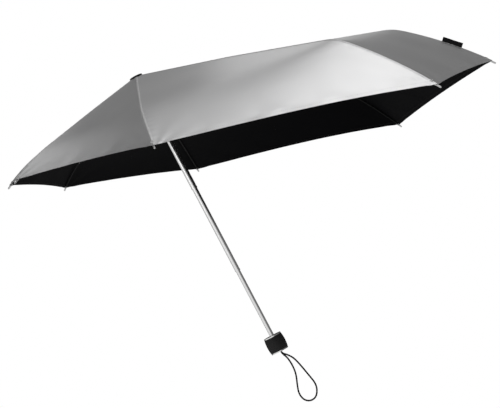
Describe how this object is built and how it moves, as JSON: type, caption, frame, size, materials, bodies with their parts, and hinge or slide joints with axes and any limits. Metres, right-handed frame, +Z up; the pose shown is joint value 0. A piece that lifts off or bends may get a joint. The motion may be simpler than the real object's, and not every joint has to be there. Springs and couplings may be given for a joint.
{
  "type": "folding umbrella",
  "caption": "Compact asymmetric storm umbrella with an offset pole, folding ribs, silver canopy, barrel grip and wrist cord.",
  "frame": {"origin": "centre of the hand grip, on the pole's axis", "axes": "+Z up the pole to the crown, +X towards the long tail of the canopy, +Y across it to the holder's right"},
  "size_m": [0.9015, 0.9166, 0.6787],
  "materials": {
    "canopy_fabric": "silver-coated woven polyester, black inside",
    "pole_metal": "bright drawn tube",
    "ring_metal": "bright trim",
    "rib_metal": "black coated steel channel",
    "rib_rod": "black glass-fibre rod",
    "tip_metal": "dull metal",
    "spring_steel": "plain",
    "black_plastic": "moulded",
    "grip_rubber": "matt, finely textured",
    "cord_black": "round braided cord",
    "label_fabric": "woven tab, bare"
  },
  "bodies": {
    "handle": {"handle_grip": "grip_rubber", "handle_core": "black_plastic", "handle_top_ring": "ring_metal", "handle_base_ring": "ring_metal", "handle_base_plate": "black_plastic", "strap_anchor": "black_plastic", "handle_cross_pin": "spring_steel", "bottom_tube": "pole_metal", "wrist_cord": "cord_black"},
    "mid_tube": {"mid_tube": "pole_metal"},
    "top_tube": {"top_tube": "pole_metal", "crown_hub": "black_plastic", "crown_wire": "spring_steel", "crown_cap": "black_plastic", "canopy": "canopy_fabric", "catch_spring": "spring_steel"},
    "catch": {"catch_nose": "spring_steel"},
    "runner": {"runner": "black_plastic", "runner_collar": "spring_steel"},
    "tail_inner": {"tail_inner_rib": "rib_metal"},
    "tail_mid": {"tail_mid_rib": "rib_metal"},
    "tail_outer": {"tail_outer_rib": "rib_rod", "tail_tip": "tip_metal", "label_tab": "label_fabric"},
    "tail_stretcher": {"tail_stretcher": "rib_metal"},
    "rear_right_inner": {"rear_right_inner_rib": "rib_metal"},
    "rear_right_mid": {"rear_right_mid_rib": "rib_metal"},
    "rear_right_outer": {"rear_right_outer_rib": "rib_rod", "rear_right_tip": "tip_metal"},
    "rear_right_stretcher": {"rear_right_stretcher": "rib_metal"},
    "side_right_inner": {"side_right_inner_rib": "rib_metal"},
    "side_right_mid": {"side_right_mid_rib": "rib_metal"},
    "side_right_outer": {"side_right_outer_rib": "rib_rod", "side_right_tip": "tip_metal"},
    "side_right_stretcher": {"side_right_stretcher": "rib_metal"},
    "front_right_inner": {"front_right_inner_rib": "rib_metal"},
    "front_right_mid": {"front_right_mid_rib": "rib_metal"},
    "front_right_outer": {"front_right_outer_rib": "rib_rod", "front_right_tip": "tip_metal"},
    "front_right_stretcher": {"front_right_stretcher": "rib_metal"},
    "front_inner": {"front_inner_rib": "rib_metal"},
    "front_mid": {"front_mid_rib": "rib_metal"},
    "front_outer": {"front_outer_rib": "rib_rod", "front_tip": "tip_metal"},
    "front_stretcher": {"front_stretcher": "rib_metal"},
    "front_left_inner": {"front_left_inner_rib": "rib_metal"},
    "front_left_mid": {"front_left_mid_rib": "rib_metal"},
    "front_left_outer": {"front_left_outer_rib": "rib_rod", "front_left_tip": "tip_metal"},
    "front_left_stretcher": {"front_left_stretcher": "rib_metal"},
    "side_left_inner": {"side_left_inner_rib": "rib_metal"},
    "side_left_mid": {"side_left_mid_rib": "rib_metal"},
    "side_left_outer": {"side_left_outer_rib": "rib_rod", "side_left_tip": "tip_metal"},
    "side_left_stretcher": {"side_left_stretcher": "rib_metal"},
    "rear_left_inner": {"rear_left_inner_rib": "rib_metal"},
    "rear_left_mid": {"rear_left_mid_rib": "rib_metal"},
    "rear_left_outer": {"rear_left_outer_rib": "rib_rod", "rear_left_tip": "tip_metal"},
    "rear_left_stretcher": {"rear_left_stretcher": "rib_metal"}
  },
  "joints": [
    {"name": "lower_pole_slide", "type": "slide", "parent": "handle", "child": "mid_tube", "axis": [0, 0, 1], "range_m": [-0.132, 0]},
    {"name": "upper_pole_slide", "type": "slide", "parent": "mid_tube", "child": "top_tube", "axis": [0, 0, 1], "range_m": [-0.15, 0]},
    {"name": "runner_slide", "type": "slide", "parent": "top_tube", "child": "runner", "axis": [0, 0, 1], "range_m": [-0.14, 0], "deforming": ["canopy"]},
    {"name": "catch_press", "type": "slide", "parent": "top_tube", "child": "catch", "axis": [-0.9239, -0.3827, 0], "range_m": [0, 0.0011], "stiffness_N_per_m": 400, "springref_m": -0.001, "deforming": ["catch_spring"]},
    {"name": "tail_inner_hinge", "type": "hinge", "parent": "top_tube", "child": "tail_inner", "pos_m": [0.0094, 0, 0.5473], "axis": [0, 1, 0], "range_deg": [0, 73.3]},
    {"name": "tail_mid_hinge", "type": "hinge", "parent": "tail_inner", "child": "tail_mid", "pos_m": [0.23425, 0, 0.48245], "axis": [0, 1, 0], "range_deg": [-181.8, 0]},
    {"name": "tail_outer_hinge", "type": "hinge", "parent": "tail_mid", "child": "tail_outer", "pos_m": [0.45457, 0, 0.40346], "axis": [0, 1, 0], "range_deg": [0, 153]},
    {"name": "tail_stretcher_hinge", "type": "hinge", "parent": "tail_inner", "child": "tail_stretcher", "pos_m": [0.10454, 0, 0.51876], "axis": [0, 1, 0], "range_deg": [-144.81, 0]},
    {"name": "rear_right_inner_hinge", "type": "hinge", "parent": "top_tube", "child": "rear_right_inner", "pos_m": [0.00665, 0.00665, 0.5473], "axis": [-0.7071, 0.7071, 0], "range_deg": [0, 73.3]},
    {"name": "rear_right_mid_hinge", "type": "hinge", "parent": "rear_right_inner", "child": "rear_right_mid", "pos_m": [0.16835, 0.16835, 0.4813], "axis": [-0.7071, 0.7071, 0], "range_deg": [-181.3, 0]},
    {"name": "rear_right_outer_hinge", "type": "hinge", "parent": "rear_right_mid", "child": "rear_right_outer", "pos_m": [0.32731, 0.32731, 0.403], "axis": [-0.7071, 0.7071, 0], "range_deg": [0, 151.5]},
    {"name": "rear_right_stretcher_hinge", "type": "hinge", "parent": "rear_right_inner", "child": "rear_right_stretcher", "pos_m": [0.07392, 0.07392, 0.51876], "axis": [-0.7071, 0.7071, 0], "range_deg": [-144.81, 0]},
    {"name": "side_right_inner_hinge", "type": "hinge", "parent": "top_tube", "child": "side_right_inner", "pos_m": [0, 0.0094, 0.5473], "axis": [-1, 0, 0], "range_deg": [0, 73.6]},
    {"name": "side_right_mid_hinge", "type": "hinge", "parent": "side_right_inner", "child": "side_right_mid", "pos_m": [0, 0.15976, 0.50565], "axis": [-1, 0, 0], "range_deg": [-180.8, 0]},
    {"name": "side_right_outer_hinge", "type": "hinge", "parent": "side_right_mid", "child": "side_right_outer", "pos_m": [0, 0.31112, 0.45356], "axis": [-1, 0, 0], "range_deg": [0, 168.2]},
    {"name": "side_right_stretcher_hinge", "type": "hinge", "parent": "side_right_inner", "child": "side_right_stretcher", "pos_m": [0, 0.10453, 0.5193], "axis": [-1, 0, 0], "range_deg": [-144.81, 0]},
    {"name": "front_right_inner_hinge", "type": "hinge", "parent": "top_tube", "child": "front_right_inner", "pos_m": [-0.00665, 0.00665, 0.5473], "axis": [-0.7071, -0.7071, 0], "range_deg": [0, 76.9]},
    {"name": "front_right_mid_hinge", "type": "hinge", "parent": "front_right_inner", "child": "front_right_mid", "pos_m": [-0.09727, 0.09727, 0.52004], "axis": [-0.7071, -0.7071, 0], "range_deg": [-180.7, 0]},
    {"name": "front_right_outer_hinge", "type": "hinge", "parent": "front_right_mid", "child": "front_right_outer", "pos_m": [-0.18707, 0.18707, 0.4837], "axis": [-0.7071, -0.7071, 0], "range_deg": [0, 173.8]},
    {"name": "front_right_stretcher_hinge", "type": "hinge", "parent": "front_right_inner", "child": "front_right_stretcher", "pos_m": [-0.07372, 0.07372, 0.52523], "axis": [-0.7071, -0.7071, 0], "range_deg": [-144.93, 0]},
    {"name": "front_inner_hinge", "type": "hinge", "parent": "top_tube", "child": "front_inner", "pos_m": [-0.0094, 0, 0.5473], "axis": [0, -1, 0], "range_deg": [0, 80.6]},
    {"name": "front_mid_hinge", "type": "hinge", "parent": "front_inner", "child": "front_mid", "pos_m": [-0.12326, 0, 0.53098], "axis": [0, -1, 0], "range_deg": [-181.9, 0]},
    {"name": "front_outer_hinge", "type": "hinge", "parent": "front_mid", "child": "front_outer", "pos_m": [-0.23505, 0, 0.50355], "axis": [0, -1, 0], "range_deg": [0, 171.3]},
    {"name": "front_stretcher_hinge", "type": "hinge", "parent": "front_inner", "child": "front_stretcher", "pos_m": [-0.10356, 0, 0.53171], "axis": [0, -1, 0], "range_deg": [-145.19, 0]},
    {"name": "front_left_inner_hinge", "type": "hinge", "parent": "top_tube", "child": "front_left_inner", "pos_m": [-0.00665, -0.00665, 0.5473], "axis": [0.7071, -0.7071, 0], "range_deg": [0, 76.9]},
    {"name": "front_left_mid_hinge", "type": "hinge", "parent": "front_left_inner", "child": "front_left_mid", "pos_m": [-0.09727, -0.09727, 0.52004], "axis": [0.7071, -0.7071, 0], "range_deg": [-180.7, 0]},
    {"name": "front_left_outer_hinge", "type": "hinge", "parent": "front_left_mid", "child": "front_left_outer", "pos_m": [-0.18707, -0.18707, 0.4837], "axis": [0.7071, -0.7071, 0], "range_deg": [0, 173.8]},
    {"name": "front_left_stretcher_hinge", "type": "hinge", "parent": "front_left_inner", "child": "front_left_stretcher", "pos_m": [-0.07372, -0.07372, 0.52523], "axis": [0.7071, -0.7071, 0], "range_deg": [-144.93, 0]},
    {"name": "side_left_inner_hinge", "type": "hinge", "parent": "top_tube", "child": "side_left_inner", "pos_m": [0, -0.0094, 0.5473], "axis": [1, 0, 0], "range_deg": [0, 73.6]},
    {"name": "side_left_mid_hinge", "type": "hinge", "parent": "side_left_inner", "child": "side_left_mid", "pos_m": [0, -0.15976, 0.50565], "axis": [1, 0, 0], "range_deg": [-180.8, 0]},
    {"name": "side_left_outer_hinge", "type": "hinge", "parent": "side_left_mid", "child": "side_left_outer", "pos_m": [0, -0.31112, 0.45356], "axis": [1, 0, 0], "range_deg": [0, 168.2]},
    {"name": "side_left_stretcher_hinge", "type": "hinge", "parent": "side_left_inner", "child": "side_left_stretcher", "pos_m": [0, -0.10453, 0.5193], "axis": [1, 0, 0], "range_deg": [-144.81, 0]},
    {"name": "rear_left_inner_hinge", "type": "hinge", "parent": "top_tube", "child": "rear_left_inner", "pos_m": [0.00665, -0.00665, 0.5473], "axis": [0.7071, 0.7071, 0], "range_deg": [0, 73.3]},
    {"name": "rear_left_mid_hinge", "type": "hinge", "parent": "rear_left_inner", "child": "rear_left_mid", "pos_m": [0.16835, -0.16835, 0.4813], "axis": [0.7071, 0.7071, 0], "range_deg": [-181.3, 0]},
    {"name": "rear_left_outer_hinge", "type": "hinge", "parent": "rear_left_mid", "child": "rear_left_outer", "pos_m": [0.32731, -0.32731, 0.403], "axis": [0.7071, 0.7071, 0], "range_deg": [0, 151.5]},
    {"name": "rear_left_stretcher_hinge", "type": "hinge", "parent": "rear_left_inner", "child": "rear_left_stretcher", "pos_m": [0.07392, -0.07392, 0.51876], "axis": [0.7071, 0.7071, 0], "range_deg": [-144.81, 0]}
  ],
  "couplings": [
    {"joint": "tail_inner_hinge", "follows": "runner_slide", "rad_per_m": -9.138},
    {"joint": "tail_mid_hinge", "follows": "runner_slide", "rad_per_m": 22.664},
    {"joint": "tail_outer_hinge", "follows": "runner_slide", "rad_per_m": -19.074},
    {"joint": "tail_stretcher_hinge", "follows": "runner_slide", "rad_per_m": 18.053},
    {"joint": "rear_right_inner_hinge", "follows": "runner_slide", "rad_per_m": -9.138},
    {"joint": "rear_right_mid_hinge", "follows": "runner_slide", "rad_per_m": 22.602},
    {"joint": "rear_right_outer_hinge", "follows": "runner_slide", "rad_per_m": -18.887},
    {"joint": "rear_right_stretcher_hinge", "follows": "runner_slide", "rad_per_m": 18.053},
    {"joint": "side_right_inner_hinge", "follows": "runner_slide", "rad_per_m": -9.1754},
    {"joint": "side_right_mid_hinge", "follows": "runner_slide", "rad_per_m": 22.54},
    {"joint": "side_right_outer_hinge", "follows": "runner_slide", "rad_per_m": -20.969},
    {"joint": "side_right_stretcher_hinge", "follows": "runner_slide", "rad_per_m": 18.053},
    {"joint": "front_right_inner_hinge", "follows": "runner_slide", "rad_per_m": -9.5868},
    {"joint": "front_right_mid_hinge", "follows": "runner_slide", "rad_per_m": 22.527},
    {"joint": "front_right_outer_hinge", "follows": "runner_slide", "rad_per_m": -21.667},
    {"joint": "front_right_stretcher_hinge", "follows": "runner_slide", "rad_per_m": 18.068},
    {"joint": "front_inner_hinge", "follows": "runner_slide", "rad_per_m": -10.048},
    {"joint": "front_mid_hinge", "follows": "runner_slide", "rad_per_m": 22.677},
    {"joint": "front_outer_hinge", "follows": "runner_slide", "rad_per_m": -21.355},
    {"joint": "front_stretcher_hinge", "follows": "runner_slide", "rad_per_m": 18.1},
    {"joint": "front_left_inner_hinge", "follows": "runner_slide", "rad_per_m": -9.5868},
    {"joint": "front_left_mid_hinge", "follows": "runner_slide", "rad_per_m": 22.527},
    {"joint": "front_left_outer_hinge", "follows": "runner_slide", "rad_per_m": -21.667},
    {"joint": "front_left_stretcher_hinge", "follows": "runner_slide", "rad_per_m": 18.068},
    {"joint": "side_left_inner_hinge", "follows": "runner_slide", "rad_per_m": -9.1754},
    {"joint": "side_left_mid_hinge", "follows": "runner_slide", "rad_per_m": 22.54},
    {"joint": "side_left_outer_hinge", "follows": "runner_slide", "rad_per_m": -20.969},
    {"joint": "side_left_stretcher_hinge", "follows": "runner_slide", "rad_per_m": 18.053},
    {"joint": "rear_left_inner_hinge", "follows": "runner_slide", "rad_per_m": -9.138},
    {"joint": "rear_left_mid_hinge", "follows": "runner_slide", "rad_per_m": 22.602},
    {"joint": "rear_left_outer_hinge", "follows": "runner_slide", "rad_per_m": -18.887},
    {"joint": "rear_left_stretcher_hinge", "follows": "runner_slide", "rad_per_m": 18.053}
  ]
}
